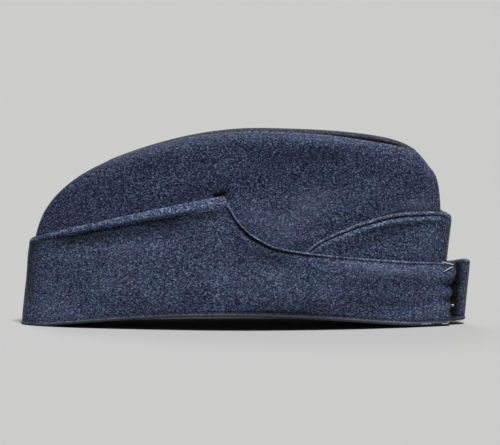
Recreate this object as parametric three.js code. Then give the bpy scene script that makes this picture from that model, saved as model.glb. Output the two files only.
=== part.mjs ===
// Field service cap in blue-grey wool serge, standing on its rim with its sides pressed close.
// Millimetres. +X is the front, +Y the wearer's left, +Z up, and the origin is under the middle of its box.
import * as THREE from 'three';

const { clamp, inverseLerp, lerp, smoothstep } = THREE.MathUtils;

// Walls and the gaps between pieces
const GAP = 0.35;
const CROWN_WALL = 2.2;
const CURTAIN_WALL = 2.4;
const PEAK_WALL = 2.2;
const GUSSET_WALL = 2.6; // square to the ridge, so thinner where its sides slope
const RIDGE_EDGE = 3; // height of a crown panel's top edge
const RIDGE_FADE = 0.1; // share of the ridge over which that edge grows from the seam's thickness

// Rim of the crown, seen from above: a lens with rounded ends
const RIM = { back: -142.85, widest: -8, front: 123.65, half: 36 };
const RIM_ROUND = { back: 13, front: 14 }; // how blunt each end is
const RIM_PULL = 67.5; // how far the wide middle stays straight

// The rim lies flat at both ends and arches between them
const ARCH = { back: -131, front: 111, rise: 9.1, power: 0.95 };

// Middle line of the crown from its back rim, up the back seam, along the top and down the front seam
const OUTLINE = [
  { x: -142.85, z: 0 },
  { x: -139.5, z: 30 },
  { x: -135.9, z: 59.8 },
  { x: -126.8, z: 78.7 },
  { x: -110.5, z: 94.3 },
  { x: -88, z: 106.4, tip: 'back' },
  { x: -61.8, z: 115.8 },
  { x: -33, z: 122.9 },
  { x: -3.3, z: 126.4 },
  { x: 28, z: 126.2 },
  { x: 65, z: 124.3 },
  { x: 94.3, z: 120.3 },
  { x: 110, z: 113.6, tip: 'front' },
  { x: 119.2, z: 103.4 },
  { x: 124.8, z: 94 },
  { x: 126.9, z: 74 },
  { x: 126.2, z: 40 },
  { x: 123.65, z: 0 },
];
const ARC_STEPS = 20; // length samples between two rows of the outline

// How far a crown panel has leaned in, from its rim to its ridge
const LEAN = [
  { up: 0, share: 0 },
  { up: 0.3, share: 0.19 },
  { up: 0.6, share: 0.42 },
  { up: 0.75, share: 0.465 },
  { up: 0.86, share: 0.455 },
  { up: 0.92, share: 0.5 },
  { up: 0.96, share: 0.63 },
  { up: 0.985, share: 0.82 },
  { up: 1, share: 1 },
];
// Rows of a panel from just above its rim, closer together where it turns over the ridge
const CROWN_ROWS = [0.016, 0.13, 0.25, 0.38, 0.51, 0.64, 0.75, 0.84, 0.9, 0.94, 0.97, 0.988, 1];

// Top gusset, a leaf folded down between the two ridges
const LEAF = { half: 16.5, power: 0.65, skew: 1.4, bluntHalf: 1.2 };
const VALLEY = { depth: 20, power: 1.25 };
const LEAF_ACROSS = [-1, -0.72, -0.42, -0.18, 0, 0.18, 0.42, 0.72, 1];

// Folds at the foot and edge of the turned-up pieces
const FLOOR = 1.6; // part of the fold that runs under the crown
const FOOT_ROUND = 0.9;
const EDGE_WALL = 1.3;
const EDGE_DROP = 0.5; // how much lower the edge's inner side is
const NO_FLOOR = 0.3;
const FACE_ROWS = [0.35, 0.7, 1]; // shares of the way up to the crest
const HIGHEST_FOLD = 0.9; // no edge lies higher on the crown's face than this share

// Edge of the curtain: up from the back to the flap's corner, then down the scoop and along the strap.
// The hem is the band above the face's crest. Bow is how far the crest stands out, and roll how far
// the edge turns in above it.
const FLAP_CORNER = -13.7;
const CURTAIN_BACK = [
  { x: -145.6, z: 52.3, hem: 2.4, bow: 0.3, roll: 1.1 },
  { x: -137, z: 57.4, hem: 2.8, bow: 0.5, roll: 1.3 },
  { x: -112.6, z: 64.3, hem: 4.2, bow: 0.9, roll: 2 },
  { x: -66, z: 75.5, hem: 6.4, bow: 1.6, roll: 2.8 },
  { x: -40, z: 81.2, hem: 7.8, bow: 1.7, roll: 3.4 },
  { x: -24.5, z: 84.3, hem: 9, bow: 1.6, roll: 3.7 },
  { x: FLAP_CORNER, z: 86.4, hem: 9.4, bow: 1.5, roll: 3.7 },
];
const CURTAIN_FRONT = [
  { x: FLAP_CORNER, z: 86.4, hem: 6, bow: 1.5, roll: 3.4 },
  { x: -11.2, z: 82, hem: 2, bow: 1.3, roll: 1 },
  { x: -6.3, z: 73.8, hem: 1.6, bow: 1.1, roll: 0.9 },
  { x: -1.8, z: 67.6, hem: 1.6, bow: 0.9, roll: 0.8 },
  { x: 4, z: 62.2, hem: 1.6, bow: 0.8, roll: 0.8 },
  { x: 9.5, z: 58.8, hem: 1.6, bow: 0.7, roll: 0.8 },
  { x: 18.8, z: 54.2, hem: 1.6, bow: 0.6, roll: 0.8 },
  { x: 34.3, z: 51.1, hem: 1.6, bow: 0.5, roll: 0.8 },
  { x: 60, z: 47.6, hem: 1.6, bow: 0.3, roll: 0.8 },
  { x: 91.3, z: 44.5, hem: 1.6, bow: 0.3, roll: 0.8 },
  { x: 140, z: 41.2, hem: 1.6, bow: 0.3, roll: 0.8 },
];
const CURTAIN_CLEARS = { from: -75, to: 12, room: 0.5 }; // the curtain moves out here to pass over the peak
const FLOOR_ENDS = { from: 0, to: 10 }; // and its floor gives way to the peak's
const STRAP_LEAVES = 90; // the strap leaves the side of the cap here
const STRAP_LEAD = 12; // and follows it for this length before

// Straps past that point: foot of the inner side, seen from above on the strap's own side of the cap.
// Lean is how far the strap's top stands forward of its foot.
const STRAPS = {
  right: [
    { x: 104, y: 20.4, foot: 1.5, top: 43.2, lean: 0 },
    { x: 120, y: 14, foot: 0.9, top: 42.1, lean: 0.6 },
    { x: 133.6, y: 8.3, foot: 1.3, top: 40.7, lean: 1.8 },
  ],
  left: [
    { x: 104, y: 20.4, foot: 1.5, top: 42.1, lean: 0 },
    { x: 119, y: 14.4, foot: 1.2, top: 40.8, lean: 0.8 },
    { x: 130, y: 10.2, foot: 1.8, top: 40.2, lean: 2 },
    { x: 137, y: 5.9, foot: 2.6, top: 41.6, lean: 3.6 },
    { x: 139.3, y: 0.6, foot: 2.8, top: 42.8, lean: 3.9 },
    { x: 136.6, y: -2.2, foot: 2.7, top: 42.2, lean: 3 },
    { x: 129, y: -4, foot: 2.2, top: 40, lean: 1.6 },
  ],
};

// Edge of the front peak, from its hidden end behind the strap to the nose of the cap
const PEAK_END = 15;
const PEAK_EDGE = [
  { x: 15, z: 24, hem: 1.6, bow: 0.2, roll: 0.6 },
  { x: 41.6, z: 52.5, hem: 1.9, bow: 0.3, roll: 0.9 },
  { x: 61.3, z: 63.3, hem: 2, bow: 0.4, roll: 1 },
  { x: 91.3, z: 72.8, hem: 2.2, bow: 0.6, roll: 1.1 },
  { x: 110, z: 74.6, hem: 2.3, bow: 1.4, roll: 1.2 },
  { x: 126.6, z: 74.2, hem: 2.6, bow: 3.4, roll: 1.6 },
  { x: 133.6, z: 72, hem: 4, bow: 4.2, roll: 2.6 },
];

// Number of sections along each piece
const CROWN_COLUMNS = 36;
const CURTAIN_STEPS = { back: 22, scoop: 11, front: 9 };
const SCOOP_END = 20;
const STRAP_STEPS = { right: 8, left: 22 };
const PEAK_STEPS = 15;
const SEARCH_STEPS = 40;

const CLOTH = { crown: 0x32394c, top: 0x333b4e, curtain: 0x394155, peak: 0x353e52 };
const SIDES = { right: -1, left: 1 };

// Smooth curve through one column of a table, level beyond its ends
function smoothAt(rows, key, column, at) {
  const last = rows.length - 1;
  const place = clamp(at, rows[0][key], rows[last][key]);
  const k = Math.max(rows.findIndex((row) => row[key] >= place) - 1, 0);
  const slope = (i) => {
    const before = rows[Math.max(i - 1, 0)];
    const after = rows[Math.min(i + 1, last)];
    return (after[column] - before[column]) / (after[key] - before[key]);
  };
  const span = rows[k + 1][key] - rows[k][key];
  const t = (place - rows[k][key]) / span;
  const ease = t * t * (3 - 2 * t);
  const leave = t * (1 - t) * (1 - t) * span * slope(k);
  const arrive = t * t * (t - 1) * span * slope(k + 1);
  return lerp(rows[k][column], rows[k + 1][column], ease) + leave + arrive;
}

// Place between low and high where a rising measure passes zero
function crossing(measure, low, high) {
  for (let step = 0; step < SEARCH_STEPS; step += 1) {
    const middle = (low + high) / 2;
    if (measure(middle) < 0) low = middle;
    else high = middle;
  }
  return low;
}

// Even steps from one value to another, both included
function steps(from, to, count) {
  return Array.from({ length: count + 1 }, (_, k) => lerp(from, to, k / count));
}

function archAt(x) {
  const share = clamp(inverseLerp(ARCH.back, ARCH.front, x), 0, 1);
  return ARCH.rise * Math.sin(Math.PI * share) ** ARCH.power;
}

// The crown's middle line by length, and where on it the gusset's two tips are
const outline = new THREE.SplineCurve(OUTLINE.map(({ x, z }) => new THREE.Vector2(x, z)));
outline.arcLengthDivisions = (OUTLINE.length - 1) * ARC_STEPS;
const outlineLengths = outline.getLengths();
const tipAt = (tip) => {
  const row = OUTLINE.findIndex((point) => point.tip === tip);
  return outlineLengths[row * ARC_STEPS] / outline.getLength();
};
const TIP = { back: tipAt('back'), front: tipAt('front') };

// A point of the middle line, moved inward
function outlineAt(share, inward) {
  const point = outline.getPointAt(share);
  const way = outline.getTangentAt(share);
  return new THREE.Vector2(point.x + way.y * inward, point.y - way.x * inward);
}

// Half the space between the ridges, widest towards the front
const leafHalf = (along) => LEAF.half * Math.sin(Math.PI * along ** LEAF.skew) ** LEAF.power;

// One face of a crown panel: u runs from back to front, v from the rim to the ridge.
// It spans the rim, the back seam, the ridge and the front seam, each moved inward for the inner face.
function crownFace(wall, ridgeEdge) {
  const half = RIM.half - wall;
  const ends = { back: RIM.back + wall, front: RIM.front - wall };
  const round = { back: RIM_ROUND.back - 2 * wall, front: RIM_ROUND.front - 2 * wall };
  const back = new THREE.CubicBezierCurve(
    new THREE.Vector2(ends.back, 0),
    new THREE.Vector2(ends.back, round.back),
    new THREE.Vector2(RIM.widest - RIM_PULL, half),
    new THREE.Vector2(RIM.widest, half),
  );
  const front = new THREE.CubicBezierCurve(
    new THREE.Vector2(RIM.widest, half),
    new THREE.Vector2(RIM.widest + RIM_PULL, half),
    new THREE.Vector2(ends.front, round.front),
    new THREE.Vector2(ends.front, 0),
  );
  const edge = (share) => {
    const along = inverseLerp(TIP.back, TIP.front, share);
    const ridge = clamp(Math.min(along, 1 - along) / RIDGE_FADE, 0, 1);
    return outlineAt(share, lerp(wall, ridgeEdge, ridge));
  };
  const straight = (share, v, end) => new THREE.Vector2().lerpVectors(edge(end), edge(share), v);
  const rim = (u) => (u < 0.5 ? back.getPoint(2 * u) : front.getPoint(2 * u - 1));
  const rimWay = (u) => (u < 0.5 ? back.getTangent(2 * u) : front.getTangent(2 * u - 1));
  const along = (u) => inverseLerp(ends.back, ends.front, rim(u).x);
  const at = (u, v) => {
    const foot = rim(u);
    const share = along(u);
    const place = new THREE.Vector2(foot.x, archAt(foot.x));
    place.lerp(edge(lerp(TIP.back, TIP.front, share)), v);
    const backBow = edge(TIP.back * v).sub(straight(TIP.back, v, 0));
    const frontBow = edge(lerp(1, TIP.front, v)).sub(straight(TIP.front, v, 1));
    place.addScaledVector(backBow, 1 - share).addScaledVector(frontBow, share);
    const side = lerp(foot.y, leafHalf(share), smoothAt(LEAN, 'up', 'share', v));
    return new THREE.Vector3(place.x, side + GAP / 2, place.y);
  };
  return { at, along, rim, rimWay };
}

const crownOuter = crownFace(0, 0);
const crownInner = crownFace(CROWN_WALL, RIDGE_EDGE);

// Place along the rim whose foot is at x
const rimShare = (x) => crossing((u) => crownOuter.rim(u).x - x, 0, 1);

// Closed solid through a row of closed loops with the same number of points
function loft(loops) {
  const count = loops[0].length;
  const points = loops.flat();
  const faces = [];
  for (let i = 0; i + 1 < loops.length; i += 1) {
    for (let j = 0; j < count; j += 1) {
      const a = i * count + j;
      const b = i * count + ((j + 1) % count);
      faces.push([a, b, b + count], [a, b + count, a + count]);
    }
  }
  const first = capFaces(loops[0]);
  const last = capFaces(loops.at(-1));
  const start = (loops.length - 1) * count;
  faces.push(...first.map(([a, b, c]) => [c, b, a]));
  faces.push(...last.map(([a, b, c]) => [a + start, b + start, c + start]));
  const outward = volume(points, faces) > 0;
  const index = faces.flatMap(([a, b, c]) => (outward ? [a, b, c] : [c, b, a]));
  const geometry = new THREE.BufferGeometry().setFromPoints(points);
  geometry.setIndex(index);
  geometry.computeVertexNormals();
  return geometry;
}

// Triangles across one loop, all turned the way the loop runs
function capFaces(loop) {
  const normal = new THREE.Vector3();
  loop.forEach((point, k) => normal.add(point.clone().cross(loop[(k + 1) % loop.length])));
  const flat = Math.abs(normal.x) > Math.abs(normal.y)
    ? loop.map(({ y, z }) => new THREE.Vector2(y, z))
    : loop.map(({ x, z }) => new THREE.Vector2(x, z));
  const turn = Math.sign(THREE.ShapeUtils.area(flat));
  return THREE.ShapeUtils.triangulateShape(flat, []).map(([a, b, c]) => {
    const same = Math.sign(THREE.ShapeUtils.area([flat[a], flat[b], flat[c]])) === turn;
    return same ? [a, b, c] : [c, b, a];
  });
}

function volume(points, faces) {
  return faces.reduce((sum, [a, b, c]) => sum + points[a].dot(points[b].clone().cross(points[c])) / 6, 0);
}

// A row of loops made for the left side, moved to the given side
function onSide(side, loops) {
  return loops.map((loop) => loop.map(({ x, y, z }) => new THREE.Vector3(x, y * side, z)));
}

function clothMesh(name, geometry, color) {
  const material = new THREE.MeshStandardMaterial({ color, roughness: 0.95, metalness: 0 });
  const mesh = new THREE.Mesh(geometry, material);
  mesh.name = name;
  return mesh;
}

// Side panel of the crown, from its lower edge to the ridge
function crownPanel(side) {
  const loops = steps(0, 1, CROWN_COLUMNS).map((u) => {
    const outer = CROWN_ROWS.map((v) => crownOuter.at(u, v));
    const inner = CROWN_ROWS.map((v) => crownInner.at(u, v));
    return [...outer, ...inner.reverse()];
  });
  return loft(onSide(side, loops));
}

// Top gusset: a folded leaf with blunt tips, between the two ridges
function crownTop() {
  const stations = steps(0, 1, CROWN_COLUMNS).map(crownOuter.along);
  const long = stations.filter((along) => leafHalf(along) > LEAF.bluntHalf);
  const loops = long.map((along) => {
    const share = lerp(TIP.back, TIP.front, along);
    const ridge = outlineAt(share, 0);
    const under = outlineAt(share, GUSSET_WALL).sub(ridge);
    const half = leafHalf(along) - GAP / 2;
    const depth = VALLEY.depth * leafHalf(along) / LEAF.half;
    const upper = LEAF_ACROSS.map((across) => {
      const drop = depth * (1 - Math.abs(across) ** VALLEY.power);
      return new THREE.Vector3(ridge.x, half * across, ridge.y - drop);
    });
    const lower = upper.map(({ x, y, z }) => new THREE.Vector3(x + under.x, y, z + under.y));
    return [...upper, ...lower.reverse()];
  });
  return loft(loops);
}

// Section of a turned-up piece: round foot, bowed face, rolled edge, and a floor under the crown
function foldLoop(station, wall, reach, { hem, bow, roll }) {
  const crest = 1 - hem / station.rise;
  const bowAt = (share) => bow * share ** 2;
  const lip = wall + bow - roll;
  const profile = [
    { up: 0, out: wall - FOOT_ROUND },
    { up: FOOT_ROUND / station.rise, out: wall },
    ...FACE_ROWS.map((share) => ({ up: crest * share, out: wall + bowAt(share) })),
    { up: 1, out: lip },
    { up: 1 - EDGE_DROP / station.rise, out: lip - EDGE_WALL },
    ...FACE_ROWS.toReversed().map((share) => ({ up: crest * share, out: bowAt(share) })),
    { up: FLOOR / station.rise, out: 0 },
    { up: FLOOR / station.rise, out: -reach },
    { up: 0, out: -reach },
  ];
  return profile.map(({ up, out }) => station.at(up, out));
}

// Station of a turned-up piece on the side of the cap, which lies on the crown's face as far as its edge
function sideStation(u, base, wall, edgeAt) {
  const way = crownOuter.rimWay(u);
  const out = new THREE.Vector3(-way.y, way.x, 0);
  const outside = (point) => point.x + out.x * (base + wall + edgeAt(point.x, 'bow'));
  const top = crossing((v) => {
    const point = crownOuter.at(u, v);
    return point.z - edgeAt(outside(point), 'z');
  }, 0, HIGHEST_FOLD);
  const foot = crownOuter.at(u, 0);
  const edge = crownOuter.at(u, top);
  const at = (up, off) => crownOuter.at(u, up * top).addScaledVector(out, base + off);
  return { at, x: outside(edge), footX: foot.x, rise: edge.z - foot.z };
}

function curtainEdge(x, column) {
  return smoothAt(x < FLAP_CORNER ? CURTAIN_BACK : CURTAIN_FRONT, 'x', column, x);
}

function foldAt(edgeAt, x) {
  return { hem: edgeAt(x, 'hem'), bow: edgeAt(x, 'bow'), roll: edgeAt(x, 'roll') };
}

function curtainStation(u) {
  const footX = crownOuter.rim(u).x;
  const over = smoothstep(footX, CURTAIN_CLEARS.from, CURTAIN_CLEARS.to);
  const base = GAP + over * (PEAK_WALL + GAP + CURTAIN_CLEARS.room);
  return { ...sideStation(u, base, CURTAIN_WALL, curtainEdge), base };
}

// The strap past the side of the cap, between a line along its foot and one along its top
function strapStations(rows, count) {
  const joint = rimShare(STRAP_LEAVES);
  const before = rimShare(STRAP_LEAVES - STRAP_LEAD);
  const body = [before, joint].map(curtainStation);
  const feet = [
    ...body.map(({ at }) => at(0, 0)),
    ...rows.map(({ x, y, foot }) => new THREE.Vector3(x, y, foot)),
  ];
  const tops = [
    ...body.map(({ at }) => at(1, 0)),
    ...rows.map(({ x, y, top, lean }) => new THREE.Vector3(x + lean, y, top)),
  ];
  const footLine = new THREE.CatmullRomCurve3(feet, false, 'catmullrom');
  const topLine = new THREE.CatmullRomCurve3(tops, false, 'catmullrom');
  const start = 1 / (feet.length - 1);
  return steps(start, 1, count).slice(1).map((t) => {
    const foot = footLine.getPoint(t);
    foot.setZ(Math.max(foot.z, 0));
    const top = topLine.getPoint(t);
    const way = footLine.getTangent(t).setZ(0).normalize();
    const out = new THREE.Vector3(-way.y, way.x, 0);
    const at = (up, off) => foot.clone().lerp(top, up).addScaledVector(out, off);
    return { at, x: foot.x, rise: top.z - foot.z };
  });
}

// Half of the turned-up curtain, from the centre back to the end of its strap
function curtain(side) {
  const corner = crossing((u) => curtainStation(u).x - FLAP_CORNER, 0, 1);
  const scoopEnd = rimShare(SCOOP_END);
  const places = [
    ...steps(0, corner, CURTAIN_STEPS.back),
    ...steps(corner, scoopEnd, CURTAIN_STEPS.scoop).slice(1),
    ...steps(scoopEnd, rimShare(STRAP_LEAVES), CURTAIN_STEPS.front).slice(1),
  ];
  const body = places.map((u) => {
    const station = curtainStation(u);
    const floor = 1 - smoothstep(station.footX, FLOOR_ENDS.from, FLOOR_ENDS.to);
    const reach = lerp(NO_FLOOR, station.base + CROWN_WALL, floor);
    return foldLoop(station, CURTAIN_WALL, reach, foldAt(curtainEdge, station.x));
  });
  const strap = strapStations(STRAPS[side], STRAP_STEPS[side]).map((station) =>
    foldLoop(station, CURTAIN_WALL, NO_FLOOR, foldAt(curtainEdge, station.x)));
  return loft(onSide(SIDES[side], [...body, ...strap]));
}

// Turned-up peak, wrapped round the front of the crown from one side to the other
function frontPeak() {
  const peakEdge = (x, column) => smoothAt(PEAK_EDGE, 'x', column, x);
  const half = steps(rimShare(PEAK_END), 1, PEAK_STEPS).map((u) => {
    const station = sideStation(u, GAP, PEAK_WALL, peakEdge);
    return foldLoop(station, PEAK_WALL, GAP + CROWN_WALL, foldAt(peakEdge, station.x));
  });
  return loft([...onSide(SIDES.right, half), ...onSide(SIDES.left, half).reverse()]);
}

const cap = new THREE.Group();
for (const [name, side] of Object.entries(SIDES)) {
  cap.add(clothMesh(`crown_${name}`, crownPanel(side), CLOTH.crown));
  cap.add(clothMesh(`curtain_${name}`, curtain(name), CLOTH.curtain));
}
cap.add(clothMesh('crown_top', crownTop(), CLOTH.top));
cap.add(clothMesh('front_peak', frontPeak(), CLOTH.peak));

export default cap;
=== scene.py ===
import math
from collections import namedtuple

import bpy
import numpy as np
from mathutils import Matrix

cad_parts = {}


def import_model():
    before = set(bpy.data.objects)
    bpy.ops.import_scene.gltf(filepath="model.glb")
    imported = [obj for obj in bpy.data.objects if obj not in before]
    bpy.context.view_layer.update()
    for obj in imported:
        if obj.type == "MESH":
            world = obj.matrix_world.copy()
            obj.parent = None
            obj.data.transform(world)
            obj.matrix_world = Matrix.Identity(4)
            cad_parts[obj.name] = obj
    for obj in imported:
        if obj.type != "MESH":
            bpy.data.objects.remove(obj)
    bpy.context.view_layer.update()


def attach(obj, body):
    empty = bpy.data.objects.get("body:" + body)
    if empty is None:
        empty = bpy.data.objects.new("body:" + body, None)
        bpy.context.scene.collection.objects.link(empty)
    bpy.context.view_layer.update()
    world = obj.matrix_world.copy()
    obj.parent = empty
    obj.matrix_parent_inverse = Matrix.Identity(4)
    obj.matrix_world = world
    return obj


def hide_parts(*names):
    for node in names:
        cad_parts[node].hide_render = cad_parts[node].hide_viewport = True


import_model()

MM = 0.001
TINY = 1e-9


def table(columns, *rows):
    """Rows with named columns. The last ones are 0 where a row leaves them out."""
    row = namedtuple("Row", columns, defaults=[0] * len(columns.split()))
    return [row(*values) for values in rows]


def record(columns, *values):
    return table(columns, values)[0]


# View of the photo: level with the cap's side, a little from above
CAMERA_UP = 5.5  # degrees
CAMERA_AWAY = 3000
CAMERA_AT = (3.25, 0, 66.3)
FRAME_WIDE = 325  # width of the picture at that distance
SENSOR = 36
CLIP_END = 50  # metres

# Stage: the floor in metres, the room's light, and far soft lamps, right of the camera and up by degrees
FLOOR_HALF = 12
FLOOR_GRAIN = (3, 3, 0.5)
FLOOR_GREYS = [(0.3, (0.306, 0.306, 0.302)), (0.7, (0.314, 0.314, 0.31))]
ROOM_COLOUR, ROOM_LIGHT = (0.9, 0.92, 0.95, 1), 0.12
LAMPS = table("name right up spread power", ("key", 24, 68, 14, 5.6), ("back", 205, 45, 30, 0.7))

# Walls, and the closed seams between pieces
SEAM = 0.12
CROWN_WALL = 1.8
CURTAIN_WALL = 2.4
PEAK_WALL = 2.2
GUSSET_WALL = 1.6
RIDGE_EDGE = 2.4
RIDGE_FADE = 0.1
GAP = 0.35  # room between a turned-up piece and what lies inside it

# Rim of the crown, seen from above: a lens with rounded ends, lying flat at both ends and arching between
RIM = record("back widest front half round_back round_front pull", -142.85, -8, 123.65, 36, 13, 14, 67.5)
ARCH = record("back front rise power", -131, 111, 9.1, 0.95)

# Middle line of the crown in x and z, from its back rim up, along the top and down to its front rim
OUTLINE = [
    (-142.85, 0), (-139.5, 30), (-135.9, 59.8), (-127.2, 79), (-110.7, 94.7), (-88, 106.8),
    (-61.8, 116), (-33, 122.9), (-3.3, 126.4), (28, 126.2), (65, 124.3), (94.3, 120.3), (110, 113.6),
    (119.3, 103.5), (125.1, 94), (127.4, 74), (126.9, 40), (123.65, 0),
]
TIP_ROWS = (5, 12)  # rows of the outline where the top gusset starts and ends
ARC_STEPS = 60

# How far a crown panel has leaned in, from its rim to its ridge
LEAN = table("up share",
    (0, 0), (0.3, 0.19), (0.6, 0.42), (0.75, 0.465), (0.86, 0.455), (0.92, 0.5), (0.96, 0.63),
    (0.985, 0.82), (1, 1),
)

# Top gusset, a leaf folded down between the two ridges
LEAF = record("half power skew tip", 16.5, 0.65, 1.4, 0.3)
VALLEY = record("depth power", 20, 1.25)
CROWN_FOOT = 0.016  # share of the way up where the crown's panels start
GUSSET_SUNK = 0.1
GUSSET_WAVES = 3  # the slow waves are this much closer across the gusset

# Hills at the crown's ridges and centre seams, as their most, middle and width: the roll of a folded edge,
# the dip of a seam, the places where the cloth is worn, fluffed or greyed, and the painted shade in a seam's
# dip
RIDGE_ROLL, GUSSET_ROLL = (0.35, 1.1, 1), (0.35, 0.6, 0.6)
SEAM_DIP = (0.45, 0, 0.9)
RIDGE_WORN, GUSSET_WORN = (1, 1, 1.2), (1, 0.5, 0.7)
RIDGE_FLUFF, GUSSET_FLUFF, SEAM_FLUFF = (1, 0, 0.6), (1, 0, 1.6), (0.7, 0, 0.9)
RIDGE_GREY = (0.13, 0, 11)
SEAM_SHADE = (0.5, 0, 0.35)

# Along the top: how far the right ridge has slumped, and how dark the painted shade is in the fold behind it
SLUMP = table("x down dark",
    (-90, 0, 0.15), (30, 0, 0.25), (56, 0.9, 0.8), (84, 2.6, 1), (100, 2.4, 1), (110, 1, 0.8),
    (116, 0, 0.2),
)
SLUMP_HIGH = 14
FOLD_SHADE = (1.4, 2.3)  # depths in the fold where the painted shade starts and is full

# Edges of the turned-up pieces. The hem is the width of the bead along the edge, square to it. Bow is how far
# the face stands out under it, roll how far the edge turns in above it, and bead how far it stands proud.
# Groove is the depth of the stitched line under it, which fades out down the face, and puff a swelling below.
EDGE = "x z hem bow roll bead groove fade puff"
FLAP_CORNER = -13.7
CURTAIN_BACK = table(EDGE,
    (-145.6, 52.3, 2.6, 0.3, 1.2, 0, 0.1, 5), (-137, 57.4, 3.2, 0.5, 1.6, 0, 0.25, 6),
    (-112.6, 64.3, 4.6, 0.9, 2.2, 0.18, 1.2, 10), (-66, 75.5, 6.4, 1.6, 2.8, 0.36, 2, 11),
    (-40, 81.2, 7.6, 1.7, 3.4, 0.3, 1.5, 9), (-24.5, 84.3, 7.8, 1.6, 3.8, 0.05, 0.3, 9),
    (FLAP_CORNER, 86.4, 8, 1.5, 3.8, 0, 0, 8),
)
CURTAIN_FRONT = table(EDGE,
    (FLAP_CORNER, 86.4, 6, 1.5, 3.6, 0.1, 0.2, 2), (-11.2, 82, 1.5, 1.3, 1, 0.3, 0.5, 1.6),
    (-6.3, 73.8, 1.2, 1.1, 0.8, 0.4, 0.9, 1.9), (-1.8, 67.8, 1.15, 0.9, 0.7, 0.45, 1.3, 2.4),
    (4, 62.5, 1.15, 0.8, 0.7, 0.5, 1.5, 3), (9.5, 59.1, 1.15, 0.7, 0.7, 0.5, 1.5, 3.2),
    (18.8, 54.4, 1.2, 0.6, 0.7, 0.5, 1.2, 2.8, 0.1), (34.3, 51.1, 1.2, 0.5, 0.7, 0.45, 0.75, 2.5, 0.1),
    (60, 47.6, 1.3, 0.3, 0.7, 0.28, 0.32, 1.9, 0.2), (91.3, 44.5, 1.4, 0.3, 0.7, 0.16, 0.18, 1.5, 0.18),
    (133, 41.7, 1.4, 0.3, 0.7, 0.12, 0.18, 1.3, 0.15), (140, 41.2, 1.8, 0.2, 1, 0, 0.2, 1.3, 0.1),
)
PEAK_END = 15
PEAK_EDGE = table(EDGE,
    (15, 24, 1.6, 0.2, 0.6, 0.3, 0.4, 1.2, 0.4), (41.6, 52.5, 1.9, 0.3, 0.9, 0.3, 0.5, 1.2, 0.4),
    (61.3, 63.3, 2, 0.4, 1, 0.32, 0.8, 1.2, 0.8), (91.3, 72.8, 2.4, 0.6, 1.1, 0.36, 0.95, 1.4, 1.4),
    (110, 74.6, 2.6, 1.4, 1.2, 0.33, 0.7, 1.4, 1.4), (126.6, 74.2, 2.6, 3.4, 1.6, 0.25, 0.3, 1.2, 0.5),
    (133.6, 72, 4, 4.2, 2.6, 0, 0, 1.2, 0.1),
)
HEM_MOST = 0.4  # no hem is wider than this share of its piece's height
HEM_UNDER = math.radians(-70)  # where the hem's roll starts, under its widest
HEM_ABOVE = 0.68  # share of the hem above its widest
GROOVE_POWER = 1.3
GROOVE_DEEP = 1.2  # a deeper groove shows on the inner side
PUFF_DOWN, PUFF_HALF = 2.6, 1.9  # where the puff is under the hem, and half its width
EDGE_WALL = 1.3
EDGE_DROP = 0.5
HIGHEST_FOLD = 0.9  # no edge lies higher on the crown's face than this share

# Wear of those edges, with a painted highlight on their hems, as hills down from the edge or along x
EDGE_WEAR_AND_HIGHLIGHT = (1, 0.4, 0.7)
WIDE_HEM, WIDE_WEAR_AND_HIGHLIGHT = (2, 6), 0.5  # a wide hem is less worn and has less painted highlight at its very edge
BROAD_HEM, BROAD_HIGHLIGHT = (4.5, 7), 0.5  # a wide hem has a painted highlight over much of its height
BROAD_AT, BROAD_AT_HEM, BROAD_HALF = (0.3, 0.5), (6, 8), 0.3  # shares of its height, on such hems
# painted highlight on the puff below a hem
PUFF_HIGHLIGHT = 0.45
BACK_WEAR_AND_HIGHLIGHT, BACK_WEAR_AND_HIGHLIGHT_ALONG = 0.1, (-136, -100)  # the edge is less worn and has less painted highlight towards the back
NARROW_HEM, NARROW_FLUFF = (2.5, 4), (0.32, 0.4, 0.8)  # a narrow hem is fluffed
BACK_FLUFF = (0.5, -145.6, 2.2)  # fold at the centre back
LINE_HEM, LINE_SHADE = (2.5, 5), 0.9  # painted shade in the stitched line under a narrow hem
LINE_SHARE, LINE_MOST = 0.6, 2.4  # width of that painted shade, as a share of the fade and at most

# Foot of the turned-up pieces, with a stitched line a little above it
FLOOR = 1.6
FOOT_ROUND = 1.1
FOOT_BEAD = 1.3
FOOT_LINE = 2.9
FOOT_WIDE = 0.75
FOOT_EDGE = table("x groove worn",
    (-145, 0.15, 0.8), (-70, 0.2, 0.8), (-20, 0.45, 0.2), (60, 0.45, 0.1), (90, 0.4, 0.12),
    (135, 0.35, 0.12),
)
FOOT_SWELL = 1.2
FOOT_WORN_WIDE = 0.7
FOOT_FLUFF = (0.85, 0.8, 1.1)
# painted shade in the stitched line above the foot
FOOT_SHADE = 0.8

# The curtain moves out to pass over the peak, and its floor gives way to the peak's
CLEARS_ALONG, CLEARS_ROOM = (-75, 12), 0.5
FLOOR_ENDS = (0, 10)
NO_FLOOR = 0.3
SCOOP_END = 20
STRAP_LEAVES = 90
STRAP_LEAD = 12
SETTLE_LONG = 30  # the strap takes this length to lose the curve of the side

# Straps past the side of the cap: the inner side's place, foot and top, and the top's lean forward
STRAP = "x y foot top lean"
STRAPS = {
    "right": table(STRAP, (104, 20.4, 1.5, 43.2, 0), (120, 14, 0.9, 42.1, 0.6), (133.6, 8.3, 1.3, 40.7, 1.8)),
    "left": table(STRAP,
        (104, 20.4, 1.5, 42.1, 0), (119, 14.4, 1.2, 40.8, 0.8), (130, 10.2, 1.8, 40.2, 2),
        (138.3, 5.9, 2.6, 42, 3.2), (140.7, 0.6, 2.8, 41.7, 3.3), (137.8, -2.3, 2.7, 42.4, 2.8),
        (129, -4, 2.2, 40, 1.6),
    ),
}

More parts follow.
